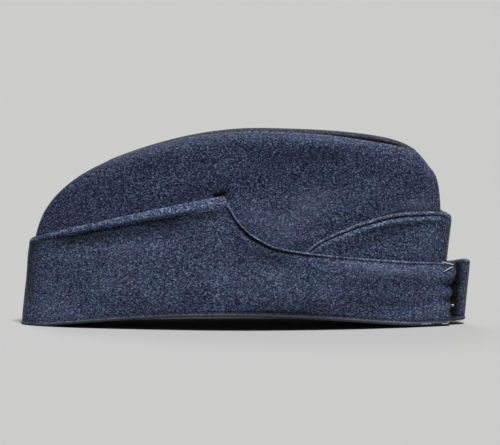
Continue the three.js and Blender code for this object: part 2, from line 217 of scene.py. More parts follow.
# Ragged end of the right strap: how far its edge stands forward, from foot to top
RAGGED_END = table("up forward",
    (0, -0.6), (0.08, -0.5), (0.15, -0.9), (0.21, -1.6), (0.27, -1), (0.32, -0.7), (0.38, -1.5),
    (0.45, -0.8), (0.52, -0.5), (0.57, -0.9), (0.62, -1.6), (0.68, -0.5), (0.78, 0.7), (0.89, 0.9),
    (1, 0.3),
)
RAGGED_LONG = 7
END_ROLL, END_ROLL_LONG = 1.4, 2.6  # how far the end turns in, and over what length
END_SHADE, END_SHADE_LONG = 0.8, 3  # painted shade where it turns in, and over what length
END_CLOSER = 1.5  # how much closer together its stations become

# The left strap's end has painted shade where the right one covers it, and is rubbed pale at its fold
POCKET_SHADE, POCKET_SIDE, TAB_LEAN = (135.7, 140.7), -1.5, 0.08
TAB_FOLD_FROM, TAB_FOLD = 140.4, (1, -1.6, 1.1)

# What the pieces were cut to: width, length, and the share of that rectangle that each one fills
CROWN_CUT, GUSSET_CUT, PEAK_CUT, RIGHT_CUT, LEFT_CUT = table("wide long share",
    (130, 285, 0.85), (52, 200, 0.69), (75, 250, 0.83), (88, 300, 0.66), (88, 320, 0.66),
)

# Hollows and swells of the cloth, seen from its side, and the painted light and shade on each, as how much
# lighter or darker it is
DENT = "x z long high tone turn out"
CURTAIN_DENTS = table(DENT,
    (-141, 38, 7, 40, -0.58), (-111, 57.7, 22, 5.1, -0.61, 13), (-140, 54, 8, 6, -0.3),
    (-127, 10, 17, 9, 0.4), (-116, 41, 11, 7, 0.05, 0, 0.5), (-131, 33, 10, 8, 0.15),
    (-92, 38, 9, 6, -0.1, 0, -0.4), (-109, 30, 12, 6, -0.16), (-70, 63.8, 38, 5.2, -0.68, 13),
    (-46, 62, 24, 5, -0.2, 12), (-72, 51.5, 34, 5, 0.22, 5, 0.3), (-27, 74.8, 18, 3.8, -0.5, 11),
    (-48, 70, 10, 4, -0.2, 12), (-29, 51, 12, 8, -0.14), (-81, 42, 8, 14, 0.14),
    (-34, 21, 8, 6, -0.3, 0, -0.3), (-62, 11, 38, 9, -0.38, -2, -0.5), (-16, 31, 11, 7, 0.16, 10, 0.7),
    (-1, 56, 12, 9, -0.42, -50, -0.3), (18, 46, 14, 5, -0.5, -20, -0.4), (19, 34, 12, 8, 0.26, -20, 0.8),
    (24, 47, 14, 5, -0.14, -12), (55, 43, 22, 3.5, 0.18, -6), (28, 10, 42, 9, -0.76, -1, -0.3),
    (47, 38, 7, 4, -0.2, 0, -0.2), (53, 28, 10, 5, 0.2), (75, 42, 16, 4, 0.25, -5, 0.3),
    (100, 37, 30, 4.6, 0.6, -3, 0.8), (88, 26, 32, 4, -0.2, -2, -0.8), (93, 17, 24, 5, -0.4, 0, -0.6),
    (118, 8.5, 14, 4, 0.28, 0, 0.6), (120, 30.5, 9, 4, 0.2), (94, 4, 28, 4, 0.42),
    (131, 32, 7, 3.5, 0, 4, 0.9), (133.4, 26, 4.4, 1.9, -0.7, 0, -0.9),
    (133.2, 16.2, 3.6, 1.8, -0.7, 0, -0.9), (134.2, 22.5, 2.2, 3, -0.25), (128, 21.5, 8, 3, 0.35, 0, 0.6),
    (128, 12, 9, 3.5, 0.28, 0, 0.7), (133, 9, 3, 1.4, -0.4, 0, -0.5), (143, 22, 4, 26, -0.08),
)
CROWN_DENTS = table(DENT,
    (-104, 82, 36, 22, -0.24, 30), (-127, 72, 11, 15, -0.14, -10), (-62, 103, 16, 9, -0.22, 20, -0.4),
    (3, 118, 26, 6, -0.2), (54, 123, 26, 2.2, 0.3, -3), (50, 112.5, 24, 6, -0.42, -2, -0.5),
    (8, 95, 12, 9, -0.14), (-11, 107, 9, 7, 0.25, 0, 0.4), (-40, 86.4, 30, 5, -0.36, 11),
    (45, 82, 16, 9, 0.62, 0, 0.6), (8, 73, 16, 11, 0.5, -20, 0.6), (28, 63, 14, 7, 0.5, -20, 0.3),
    (18, 56, 11, 4, 0.5, -18), (35, 72, 11, 8, 0.4, 0, 0.2), (66, 71, 13, 5, -0.22, 18),
    (82, 88, 17, 7, 0.28, 0, 0.4), (111, 78.5, 12, 5, 0.75, 0, 0.3), (119.5, 100, 5, 11, 0.5),
    # the last row is a painted shadow round the corner tack
    (112, 93, 10, 6, -0.38, 0, -0.3), (-15.6, 87.6, 4.6, 1.9, -0.9, 6, -0.3),
)
PEAK_DENTS = table(DENT,
    (82, 57, 24, 4, -0.42, 16, -0.4), (54, 54, 12, 5, 0.25, 30), (104, 69, 20, 2.5, 0.4, 3),
    (118, 53, 10, 10, 0.34, 0, 0.5), (131, 58, 5, 16, -0.15),
)

# Slow waves that keep any face from being smooth
WAVES = table("long turn shift out",
    (71, 20, 0.3, 0.16), (47, 110, 1.9, 0.12), (33, 65, 4.1, 0.08), (23, 150, 2.6, 0.05),
)

# Lengths, up the piece or from a seam or edge, over which the cloth becomes free to dent and wave
FREE_UP, FREE_RIDGE, FREE_SEAM = (40, 60), (0, 6), (0, 12)
GUSSET_FREE = (0, 4)
FOOT_FREE, HEM_FREE = (3, 10), 6

# Rows of stitches: length of one, the gap after it, how far it rises and sinks, and half its thickness
EDGE_STITCH, FOOT_STITCH = table("long gap rise sink half",
    (1.7, 0.6, 0.3, 0.1, 0.2), (1.9, 0.8, 0.3, 0.1, 0.2),
)
SCOOP_STITCH_FROM, PEAK_STITCH_FROM = -11, 30

# Single threads, seen from the cap's side: from and to, bend upward, height over the cloth and bow outward
THREAD = "x z to_x to_z bend lift bow half"
TACK_DARK = table(THREAD,
    (-20.2, 86.6, -12.8, 88.2, 0.4, 0.2, 0.5, 0.42), (-19.6, 87.5, -12.2, 88.8, 0.5, 0.3, 0.7, 0.4),
    (-18.4, 86.4, -11.9, 87.4, 0.7, 0.4, 0.8, 0.42), (-17.6, 88.2, -13.4, 89, 0.5, 0.3, 0.5, 0.36),
    (-14.8, 86.6, -14.2, 89.2, 0.3, 0.5, 0.8, 0.34), (-16.6, 86.4, -17.2, 88.9, 0.2, 0.5, 0.8, 0.34),
)
TACK_PALE = table(THREAD,
    (-17.8, 88.2, -16.8, 88.7, 0.2, 0.9, 0.4, 0.14), (-15.4, 87.7, -14.5, 88.3, -0.2, 1, 0.4, 0.14),
)
STRAP_PALE = table(THREAD,
    (126.9, 41.6, 135.2, 39.3, -0.2, 0.8, 0.4, 0.34), (128.2, 35.4, 134.9, 38.6, 0.2, 0.3, 0.3, 0.31),
    (127.5, 1.9, 132.4, 2.7, -0.4, 0.3, 0.4, 0.24), (111.6, 2.2, 121.2, 2.1, 0.1, 0.1, 0.2, 0.15),
)
STRAP_WHITE = table(THREAD,
    (133.5, 13.6, 135, 12.9, 0.4, 0.5, 0.5, 0.28), (133.8, 12.6, 134.7, 13.5, 0.2, 0.6, 0.4, 0.22),
)
TUBE_SIDES = 6
TUBE_TAPER, TUBE_POWER = 0.9, 6
ASIDE = (0.31, 0.42, 0.85)  # a way in which no thread runs

# Steps of the meshes: along and across each piece, and along its lines
CROWN_STEPS, CROWN_ROWS, RIDGE_ROWS, CROWN_INNER = 200, 90, 40, 30
CROWN_SPLIT = 0.85  # share of the way up a panel where its rows become closer
CROWN_OUTER_ROWS = CROWN_ROWS + RIDGE_ROWS - 1
GUSSET_STEPS, GUSSET_ROWS = 170, 60
BACK_STEPS, SCOOP_STEPS, FRONT_STEPS = 120, 60, 46
STRAP_STEP, STRAP_MORE = 1.4, 10
PEAK_STEPS = 110
LINE_STEPS, CURVE_STEPS = 40, 60
STITCH_STEPS, THREAD_STEPS = 6, 9
HALVINGS = 40

# Rows of a turned-up piece's section, from the foot up its face, over the hem and down its inner side
FACE_PARTS = table("low high rows", (0, 0.06, 10), (0.06, 0.86, 36), (0.86, 1, 16))
FACE_SHARES = np.hstack([np.linspace(*part)[1:] for part in FACE_PARTS])
FOOT_ROWS = 6
HEM_ROWS = 16
OVER_ROWS = 5
INNER_ROWS = 26
GROOVE_ROW = FOOT_ROWS + len(FACE_SHARES) - 1

# Wool: its flecks from dark to light, tints, clumps, ribs and lint, what wear and painted highlights do to
# its colour, and its painted light and shade
WOOL = [
    (0.37, (0.0015, 0.0025, 0.008)), (0.43, (0.0085, 0.0135, 0.034)), (0.48, (0.021, 0.03, 0.064)),
    (0.525, (0.041, 0.055, 0.1)), (0.59, (0.109, 0.136, 0.189)), (0.7, (0.25, 0.28, 0.34)),
]
TINT = [(0.35, (1, 0.93, 0.97)), (0.65, (1, 1.08, 1.05))]
CLUMPS = [(0.36, (0.82, 0.82, 0.84)), (0.64, (1.2, 1.2, 1.18))]
RIB = [(0, (0.82,) * 3), (1, (1.15,) * 3)]
LINT_SPECKS = [(0.835, (0, 0, 0)), (0.9, (0.2, 0.21, 0.23))]
WEAR_AND_HIGHLIGHT_COLOUR, WEAR_AND_HIGHLIGHT_MOST = (2.1, 2, 1.8, 1), 0.9
FRAYED, FRAYED_MOST = (0.053, 0.053, 0.056, 1), 0.75
WEAR_PATCHY = 1.9
SHADE_MOST = 0.96  # how much of its colour a place loses under full painted shade
EVEN_COLOUR, EVEN_OUT = (0.052, 0.062, 0.076, 1), 0.6  # places with painted light are less flecked
FLECK_STRETCH = (0.78, 1, 1.06)  # the flecks lie lengthwise
FLECK, PATCH, NAP, LINT = (1.05, 3, 0.7), (0.07, 2, 0.5), (0.45, 4, 0.6), (0.8, 0, 0.5)
CLOTH_UNIT = 100  # length of one unit of the cloth's map
TWILL_TURN = math.radians(28)
TWILL = {"Scale": 0.42, "Distortion": 1.2, "Detail": 2, "Detail Scale": 1.5}
FLECK_BUMP, RIB_BUMP = (0.6, 0.0004), (0.35, 0.00025)
WOOL_FINISH = {
    "Roughness": 0.95, "Specular IOR Level": 0.15,
    "Sheen Weight": 0.2, "Sheen Roughness": 0.3, "Sheen Tint": (0.86, 0.85, 0.84, 1),
}
WOOLS = {  # shade of each wool, and how strong its flecks are
    "crown_serge": ((0.59, 0.61, 0.715, 1), 1),
    "curtain_serge": ((0.905, 0.925, 0.985, 1), 0.85),
    "peak_serge": ((0.73, 0.76, 0.84, 1), 1),
}
THREADS = {
    "blue_thread": (0.03, 0.037, 0.06),
    "black_thread": (0.003, 0.003, 0.004),
    "pale_thread": (0.31, 0.31, 0.3),
    "white_thread": (0.52, 0.5, 0.46),
}
FIBRE = (2.5, 2, 0.5)
FIBRE_SHADES = [(0.3, 0.4), (0.7, 2)]
TWIST, TWIST_BUMP = {"Scale": 1.1, "Distortion": 1}, (0.5, 0.0001)


def lerp(a, b, t):
    return a + (b - a) * t


def smoothstep(value, low, high):
    t = np.clip((value - low) / (high - low), 0, 1)
    return t * t * (3 - 2 * t)


def hill(value, most, at, wide):
    """Smooth hill round one place along a value."""
    return most * np.exp(-((value - at) / wide) ** 2)


def unit(vectors):
    return vectors / np.maximum(np.linalg.norm(vectors, axis=-1, keepdims=True), TINY)


def read_line(at, keys, values):
    """Rows of values, read at places along their keys."""
    return np.stack([np.interp(at, keys, part) for part in values.T], axis=-1)


def smooth_at(rows, column, at):
    """Smooth curve through a column of a table, along its first column and level beyond its ends."""
    keys, values = known = np.array([(row[0], getattr(row, column)) for row in rows], float).T
    ends = np.pad(known, ((0, 0), (1, 1)), mode="edge")
    across, up = ends[:, 2:] - ends[:, :-2]
    slopes = up / across
    at = np.clip(at, keys[0], keys[-1])
    k = np.clip(np.searchsorted(keys, at, side="left") - 1, 0, len(rows) - 2)
    span = keys[k + 1] - keys[k]
    t = (at - keys[k]) / span
    leave = t * (1 - t) ** 2 * span * slopes[k]
    arrive = t * t * (t - 1) * span * slopes[k + 1]
    return lerp(values[k], values[k + 1], smoothstep(t, 0, 1)) + leave + arrive


def crossing(measure, high=1):
    """Places from 0 to high where a rising measure passes zero."""
    low = 0
    for _ in range(HALVINGS):
        middle = (low + high) / 2
        under = measure(middle) < 0
        low = np.where(under, middle, low)
        high = np.where(under, high, middle)
    return low


def catmull(points, count, stretched):
    """Curve through points, with steps between two of them. A stretched one runs on past its ends."""
    points = np.asarray(points, float)
    first = 2 * points[0] - points[1] if stretched else points[0]
    last = 2 * points[-1] - points[-2] if stretched else points[-1]
    padded = np.vstack([first, points, last])[:, None]
    a, b, c, d = (padded[k:k + len(points) - 1] for k in range(4))
    leave, arrive = (c - a) / 2, (d - b) / 2
    t = np.arange(count)[:, None] / count
    bend, twist = 3 * (c - b) - 2 * leave - arrive, 2 * (b - c) + leave + arrive
    return np.vstack([*(b + leave * t + bend * t ** 2 + twist * t ** 3), points[-1]])


def along_line(points):
    """Lengths along a line of points."""
    return np.hstack([0, np.cumsum(np.linalg.norm(np.diff(points, axis=0), axis=1))])


def bezier(points, t):
    """Place on a curve, and the way it runs there."""
    a, b, c, d = np.asarray(points, float)
    t = t[..., None]
    place = (1 - t) ** 3 * a + 3 * (1 - t) ** 2 * t * b + 3 * (1 - t) * t ** 2 * c + t ** 3 * d
    return place, unit((1 - t) ** 2 * (b - a) + 2 * (1 - t) * t * (c - b) + t ** 2 * (d - c))


def grid_normals(points):
    return unit(np.cross(np.gradient(points, axis=1), np.gradient(points, axis=0)))


# The crown's middle line by length, and where on it the gusset's two tips are
outline_points = catmull(OUTLINE, ARC_STEPS, stretched=False)
outline_length = along_line(outline_points)
outline_way = np.gradient(outline_points, outline_length, axis=0)
TIP_BACK, TIP_FRONT = (outline_length[row * ARC_STEPS] / outline_length[-1] for row in TIP_ROWS)


def outline_at(share, inward):
    """Point of the middle line, moved inward."""
    at = share * outline_length[-1]
    place, way = (read_line(at, outline_length, line) for line in (outline_points, outline_way))
    return place + way[..., ::-1] * (1, -1) * np.asarray(inward)[..., None]


def leaf_half(along):
    """Half the space between the ridges, widest towards the front."""
    along = np.clip(along, 0, 1)
    return LEAF.half * np.maximum(np.sin(np.pi * along ** LEAF.skew), 0) ** LEAF.power


def arch_at(x):
    share = np.clip((x - ARCH.back) / (ARCH.front - ARCH.back), 0, 1)
    return ARCH.rise * np.sin(np.pi * share) ** ARCH.power


class CrownFace:
    """One face of the left crown panel: u runs from back to front, v from the rim to the ridge."""

    def __init__(self, wall, ridge_edge):
        self.wall, self.ridge_edge = wall, ridge_edge
        self.back, self.front = RIM.back + wall, RIM.front - wall
        half = RIM.half - wall
        ends = (self.back, RIM.round_back, -RIM.pull), (self.front, RIM.round_front, RIM.pull)
        back, front = (
            [(tip, 0), (tip, round_end - 2 * wall), (RIM.widest + pull, half), (RIM.widest, half)]
            for tip, round_end, pull in ends)
        self.halves = back, front[::-1]

    def rim(self, u):
        """Point of the rim seen from above, and the way it runs."""
        back, front = (bezier(half, np.clip(2 * u - k, 0, 1)) for k, half in enumerate(self.halves))
        return [np.where((u < 0.5)[..., None], *pair) for pair in zip(back, front)]

    def along(self, u):
        return (self.rim(u)[0][..., 0] - self.back) / (self.front - self.back)

    def edge(self, share):
        along = (share - TIP_BACK) / (TIP_FRONT - TIP_BACK)
        ridge = np.clip(np.minimum(along, 1 - along) / RIDGE_FADE, 0, 1)
        return outline_at(share, lerp(self.wall, self.ridge_edge, ridge))

    def seam_bow(self, foot, tip, v):
        """How far a centre seam stands off the straight line between its ends."""
        straight = lerp(self.edge(foot + 0 * v), self.edge(tip + 0 * v), v[..., None])
        return self.edge(lerp(foot, tip, v)) - straight

    def at(self, u, v):
        u, v = np.broadcast_arrays(np.asarray(u, float), np.asarray(v, float))
        foot, _ = self.rim(u)
        along = self.along(u)
        share = along[..., None]
        place = np.stack([foot[..., 0], arch_at(foot[..., 0])], axis=-1)
        place = lerp(place, self.edge(lerp(TIP_BACK, TIP_FRONT, along)), v[..., None])
        place = place + (1 - share) * self.seam_bow(0, TIP_BACK, v) + share * self.seam_bow(1, TIP_FRONT, v)
        side = lerp(foot[..., 1], leaf_half(along), smooth_at(LEAN, "share", v))
        return np.stack([place[..., 0], side + SEAM / 2, place[..., 1]], axis=-1)


crown_outer = CrownFace(0, 0)
crown_inner = CrownFace(CROWN_WALL, RIDGE_EDGE)


def rim_share(x):
    """Place along the rim whose foot is at x."""
    return float(crossing(lambda u: crown_outer.rim(np.asarray(u))[0][..., 0] - x))


def turned(x, z, degrees):
    """Places seen along two axes that are turned."""
    turn = math.radians(degrees)
    return x * math.cos(turn) + z * math.sin(turn), z * math.cos(turn) - x * math.sin(turn)


def dented(dents, column, x, z):
    """Sum of one column of a table of dents, at places seen from the cloth's side."""
    total = 0
    for dent in dents:
        ahead, over = turned(x - dent.x, z - dent.z, dent.turn)
        total = total + getattr(dent, column) * np.exp(-(ahead / dent.long) ** 2 - (over / dent.high) ** 2)
    return total


def waved(x, z):
    """How far the slow waves lift the cloth."""
    phases = (2 * np.pi * turned(x, z, wave.turn)[0] / wave.long + wave.shift for wave in WAVES)
    return sum(wave.out * np.sin(phase) for wave, phase in zip(WAVES, phases))


# What a lofted piece is made from: points by station and row, and at each of them the wear of its edges with
# a painted highlight on its hems, their greyed fluff, the painted shade in its grooves, folds and gaps, and
# the painted light and shade that makes it lighter or darker than the rest
Cloth = namedtuple("Cloth", "points worn frayed dark tone")


def join(*cloths):
    return Cloth(*(np.concatenate(part) for part in zip(*cloths)))


def mirrored(cloth):
    return cloth._replace(points=cloth.points * (1, -1, 1))


def lined(outer, inner, *looks):
    """Piece with an outer side, its looks, and a plain inner side."""
    plain = np.zeros(inner.shape[:2])
    return Cloth(np.hstack([outer, inner]), *(np.hstack([look, plain]) for look in looks))


def crown_panel():
    """Left panel of the crown: its outer face up to the ridge, then its inner face down."""
    u = np.linspace(0, 1, CROWN_STEPS + 1)[:, None]
    face = np.linspace(CROWN_FOOT, CROWN_SPLIT, CROWN_ROWS)
    outer = crown_outer.at(u, np.hstack([face, np.linspace(CROWN_SPLIT, 1, RIDGE_ROWS)[1:]]))
    inner = crown_inner.at(u, np.linspace(1, CROWN_FOOT, CROWN_INNER))
    lines = (outer[:, -1:], outer[:1], outer[-1:])
    ridge, *seams = (np.linalg.norm(outer - line, axis=-1) for line in lines)
    seam = np.minimum(*seams)
    x, z = outer[..., 0], outer[..., 2]
    free = smoothstep(z, *FREE_UP) * smoothstep(ridge, *FREE_RIDGE)
    out = (dented(CROWN_DENTS, "out", x, z) + waved(x, z)) * free * smoothstep(seam, *FREE_SEAM)
    out = out + hill(ridge, *RIDGE_ROLL) - hill(seam, *SEAM_DIP)
    fluff = [hill(ridge, *RIDGE_FLUFF), hill(seam, *SEAM_FLUFF), hill(ridge, *RIDGE_GREY)]
    # Painted shade in the dip of the centre seams, and the dents' painted light and shade
    return lined(outer + grid_normals(outer) * out[..., None], inner, hill(ridge, *RIDGE_WORN),
                 np.maximum.reduce(fluff), hill(seam, *SEAM_SHADE), dented(CROWN_DENTS, "tone", x, z))


def crown_gusset():
    """Top gusset, a folded leaf, rolled up a little along both ridges."""
    along = crown_outer.along(np.linspace(0, 1, GUSSET_STEPS))
    along = along[leaf_half(along) > LEAF.tip]
    share = lerp(TIP_BACK, TIP_FRONT, along)
    lines = [outline_at(share, inward) for inward in (0, GUSSET_WALL)]
    ridge_x = lines[0][:, :1]
    half = leaf_half(along)[:, None]
    side = np.sin(np.linspace(-np.pi / 2, np.pi / 2, GUSSET_ROWS))
    drop = VALLEY.depth * half / LEAF.half * (1 - np.abs(side) ** VALLEY.power)
    y = (half - SEAM) * side
    sunk = drop + smooth_at(SLUMP, "down", ridge_x) * smoothstep(-side, 0, 1)
    upper, lower = (np.stack([line[:, :1] + 0 * y, y, line[:, 1:] - sunk], axis=-1) for line in lines)
    upper[..., 2] += hill(drop, *GUSSET_ROLL) - GUSSET_SUNK
    upper[..., 2] += waved(upper[..., 0], GUSSET_WAVES * upper[..., 1]) * smoothstep(drop, *GUSSET_FREE)
    # Painted shade in the fold behind the slumped ridge
    dark = smooth_at(SLUMP, "dark", ridge_x) * smoothstep(drop, *FOLD_SHADE)
    return lined(upper, lower[:, ::-1], hill(drop, *GUSSET_WORN), hill(drop, *GUSSET_FLUFF), dark, 0 * drop)


def slumped(panel):
    """The right panel of the crown, from the left one, with its ridge sunk a little."""
    points = mirrored(panel).points
    x, z = points[..., 0], points[..., 2]
    ridge = z.max(axis=1, keepdims=True)
    points[..., 2] -= smooth_at(SLUMP, "down", x) * smoothstep(z, ridge - SLUMP_HIGH, ridge)
    return panel._replace(points=points)


def curtain_edge(x, column):
    return np.where(x < FLAP_CORNER, smooth_at(CURTAIN_BACK, column, x), smooth_at(CURTAIN_FRONT, column, x))


def peak_edge(x, column):
    return smooth_at(PEAK_EDGE, column, x)


def fold_section(stations, wall, reach, rows_at, dents):
    """Closed section of a turned-up piece at each of its stations. Its foot reaches inward."""
    rise, at = stations.rise, stations.x[:, None]
    hem, bow, roll, bead, groove, fade, puff = (rows_at(at, name) for name in EDGE.split()[2:])
    slope = rows_at(at + 0.5, "z") - rows_at(at - 0.5, "z")  # over a millimetre
    steep = np.sqrt(1 + slope ** 2)
    hem, fade = np.minimum(hem * steep, HEM_MOST * rise), fade * steep
    widest = rise - HEM_ABOVE * hem
    crest = widest + (1 - HEM_ABOVE) * hem * math.sin(HEM_UNDER)
    lip = wall + bow - roll

    def puffed(high):
        return hill((crest - high) / steep, puff, PUFF_DOWN, PUFF_HALF)

    quarter, over = (np.linspace(0, np.pi / 2, rows) for rows in (FOOT_ROWS, OVER_ROWS))
    face_high = lerp(FOOT_ROUND, crest, FACE_SHARES)
    sunk = groove * np.exp(-((crest - face_high) / fade) ** GROOVE_POWER)
    face_out = wall + bow * (face_high / crest) ** 2 - sunk + puffed(face_high)
    turn = np.linspace(HEM_UNDER, np.pi / 2, HEM_ROWS)
    hem_high = widest + hem * np.sin(turn) * np.where(turn > 0, HEM_ABOVE, 1 - HEM_ABOVE)
    proud = lip + (roll + bead) * np.where(turn > 0, np.cos(turn), 1)
    hem_out = lerp(face_out[:, -1:], proud, smoothstep(turn, HEM_UNDER, 0))
    inner_high = lerp(rise - EDGE_DROP, FLOOR, np.linspace(0, 1, INNER_ROWS)[1:])
    inner_bow = bow * np.clip(inner_high / crest, 0, 1) ** 2 - np.maximum(groove - GROOVE_DEEP, 0)
    parts = [
        (FOOT_ROUND * (1 - np.cos(quarter)) + 0 * rise, wall - FOOT_ROUND * (1 - np.sin(quarter)) + 0 * rise),
        (face_high, face_out),
        (hem_high[:, 1:], hem_out[:, 1:]),
        (rise - EDGE_DROP * (1 - np.cos(over[1:])), lip - EDGE_WALL * np.sin(over[1:])),
        (inner_high, np.minimum(inner_bow, lip - EDGE_WALL)),
        (0 * rise + (FLOOR, 0), -reach * (1, 1)),
    ]
    high, out = (np.hstack(part) for part in zip(*parts))

    points, way = stations.at(high / rise, out)
    x, z = points[..., 0], points[..., 2]
    down = rise - high
    row = np.arange(high.shape[1])
    outside = row < GROOVE_ROW
    on_hem = (row > GROOVE_ROW) & (row < GROOVE_ROW + HEM_ROWS + OVER_ROWS)
    free = smoothstep(high, *FOOT_FREE) * smoothstep(down, hem, hem + HEM_FREE) * outside
    deep = smooth_at(FOOT_EDGE, "groove", x) * outside
    foot_groove = hill(high, deep, FOOT_LINE, FOOT_WIDE)
    lift = (dented(dents, "out", x, z) + waved(x, z)) * free - foot_groove
    lift += hill(high, FOOT_SWELL * deep, FOOT_BEAD, FOOT_WIDE)

    # Edge wear with a painted highlight on the hems, and painted highlights on broad hems and puffs
    rubbed_and_lit = hill(down, *EDGE_WEAR_AND_HIGHLIGHT) * lerp(1, WIDE_WEAR_AND_HIGHLIGHT, smoothstep(hem, *WIDE_HEM)) * on_hem
    rubbed_and_lit *= lerp(BACK_WEAR_AND_HIGHLIGHT, 1, smoothstep(x, *BACK_WEAR_AND_HIGHLIGHT_ALONG))
    broad_at = lerp(*BROAD_AT, smoothstep(hem, *BROAD_AT_HEM))
    broad = hill(down / hem, BROAD_HIGHLIGHT, broad_at, BROAD_HALF) * smoothstep(hem, *BROAD_HEM) * on_hem
    foot_worn = hill(high, smooth_at(FOOT_EDGE, "worn", x), FOOT_BEAD, FOOT_WORN_WIDE) * outside
    worn = np.maximum.reduce([rubbed_and_lit, broad, foot_worn, PUFF_HIGHLIGHT * puffed(high) * outside])
    narrow = hill(down, *NARROW_FLUFF) * (1 - smoothstep(hem, *NARROW_HEM)) * on_hem
    back = hill(x, *BACK_FLUFF) * (row < GROOVE_ROW + HEM_ROWS)
    frayed = np.maximum.reduce([hill(high, *FOOT_FLUFF) * outside, narrow, back])
    # Painted shade in the stitched lines under the hem and above the foot
    line_wide = np.clip(LINE_SHARE * fade, 0, LINE_MOST)
    line = hill(crest - high, np.clip(groove, 0, LINE_SHADE), 0, line_wide) * (row <= GROOVE_ROW)
    dark = np.maximum(line * (1 - smoothstep(hem, *LINE_HEM)), FOOT_SHADE * foot_groove)
    # Painted light and shade of the dents
    tone = dented(dents, "tone", x, z) * outside
    return Cloth(points + way * lift[..., None], worn, frayed, dark, tone)


def leftward(way):
    """Level ways out from the left side of a line, from the ways it runs."""
    return np.stack([-way[:, 1], way[:, 0], 0 * way[:, 0]], axis=-1)


class SideStations:
    """Stations of a turned-up piece that lies on the crown's face as far as its edge.

    at gives points from shares of the rise and offsets outward, and the way outward."""

    def __init__(self, u, base, wall, rows_at):
        self.u = np.asarray(u, float)
        self.base = base
        rim, way = crown_outer.rim(self.u)
        self.out = leftward(way)

        def outside(point):
            return point[:, 0] + self.out[:, 0] * (base + wall + rows_at(point[:, 0], "bow"))

        def above(v):
            point = crown_outer.at(self.u, v)
            return point[:, 2] - rows_at(outside(point), "z")

        self.top = crossing(above, HIGHEST_FOLD)
        foot, edge = (crown_outer.at(self.u, v) for v in (0, self.top))
        self.foot_x = rim[:, 0]
        self.x = outside(edge)
        self.rise = (edge[:, 2] - foot[:, 2])[:, None]

    def at(self, up, off):
        out = self.out[:, None, :]
        points = crown_outer.at(self.u[:, None], up * self.top[:, None])
        return points + out * (np.reshape(self.base, (-1, 1)) + off)[..., None], out


def curtain_stations(u):
    u = np.atleast_1d(u)
    over = smoothstep(crown_outer.rim(u)[0][:, 0], *CLEARS_ALONG)
    return SideStations(u, GAP + over * (PEAK_WALL + GAP + CLEARS_ROOM), CURTAIN_WALL, curtain_edge)


class StrapStations:
    """Stations of a strap past the side of the cap, between lines along its foot and its top."""

    def __init__(self, rows, count, ragged):
        body = curtain_stations([rim_share(STRAP_LEAVES - STRAP_LEAD), rim_share(STRAP_LEAVES)])
        self.shares = np.linspace(0, 1, CURVE_STEPS)
        lead, _ = body.at(self.shares + 0 * body.rise, 0 * body.rise)
        feet = np.vstack([lead[:, 0], [(row.x, row.y, row.foot) for row in rows]])
        tops = np.vstack([lead[:, -1], [(row.x + row.lean, row.y, row.top) for row in rows]])
        feet, tops = (catmull(line, LINE_STEPS, stretched=True)[LINE_STEPS:] for line in (feet, tops))
        length = along_line(feet)
        whole = length[-1]
        closer = END_CLOSER if ragged else 1
        self.run = whole * (1 - (1 - np.linspace(0, 1, count + 1)[1:]) ** closer)
        lines = (feet, tops, np.gradient(feet, length, axis=0))
        self.foot, self.top, way = (read_line(self.run, length, line) for line in lines)
        self.foot[:, 2] = np.maximum(self.foot[:, 2], 0)
        self.way = unit(way * (1, 1, 0))
        self.out = leftward(self.way)
        self.x = self.foot[:, 0]
        self.rise = (self.top[:, 2] - self.foot[:, 2])[:, None]
        self.ragged = smoothstep(self.run, whole - RAGGED_LONG, whole) * ragged
        # Painted shade where the end turns in
        self.dark = END_SHADE * smoothstep(self.run, whole - END_SHADE_LONG, whole)[:, None] * ragged
        to_end = np.clip((self.run - whole) / END_ROLL_LONG + 1, 0, 1)
        self.roll = END_ROLL * (1 - np.sqrt(1 - to_end ** 2)) * ragged
        self.curve = lead[1] - lerp(lead[1, 0], lead[1, -1], self.shares[:, None])
        self.settle = 1 - smoothstep(self.run, 0, SETTLE_LONG)

    def at(self, up, off):
        out = self.out[:, None, :]
        points = lerp(self.foot[:, None, :], self.top[:, None, :], up[..., None])
        curve = read_line(up, self.shares, self.curve)
        forward = smooth_at(RAGGED_END, "forward", up) * self.ragged[:, None]
        points = points + curve * self.settle[:, None, None] + self.way[:, None, :] * forward[..., None]
        outer = np.clip(off / CURTAIN_WALL, 0, 1)
        return points + out * (off - outer * self.roll[:, None])[..., None], out


def curtain(side):
    """Left-hand form of half the curtain, from the centre back to the end of its strap."""
    corner = float(crossing(lambda u: curtain_stations(u).x[0] - FLAP_CORNER))
    scoop_end, joint = rim_share(SCOOP_END), rim_share(STRAP_LEAVES)
    body = curtain_stations(np.hstack([
        np.linspace(0, corner, BACK_STEPS), np.linspace(corner, scoop_end, SCOOP_STEPS)[1:],
        np.linspace(scoop_end, joint, FRONT_STEPS)[1:],
    ]))
    floor = 1 - smoothstep(body.foot_x, *FLOOR_ENDS)
    reach = lerp(NO_FLOOR, body.base + CROWN_WALL, floor)[:, None]
    cloth = fold_section(body, CURTAIN_WALL, reach, curtain_edge, CURTAIN_DENTS)
    rows = STRAPS[side]
    length = along_line(np.array([(row.x, row.y) for row in rows]))[-1]
    strap = StrapStations(rows, int(length / STRAP_STEP) + STRAP_MORE, ragged=side == "right")
    end = fold_section(strap, CURTAIN_WALL, NO_FLOOR + 0 * strap.rise, curtain_edge, CURTAIN_DENTS)
    end = end._replace(dark=np.maximum(end.dark, strap.dark))
    if side == "left":
        x, y, z = np.moveaxis(end.points, -1, 0)
        # Painted shade where the right strap's end covers this one
        covered = (1 - smoothstep(x - TAB_LEAN * z, *POCKET_SHADE)) * (y < POCKET_SIDE)
        fold = hill(y, *TAB_FOLD) * (x > TAB_FOLD_FROM)
        end = end._replace(dark=np.maximum(end.dark, covered), frayed=np.maximum(end.frayed, fold))
    return join(cloth, end)


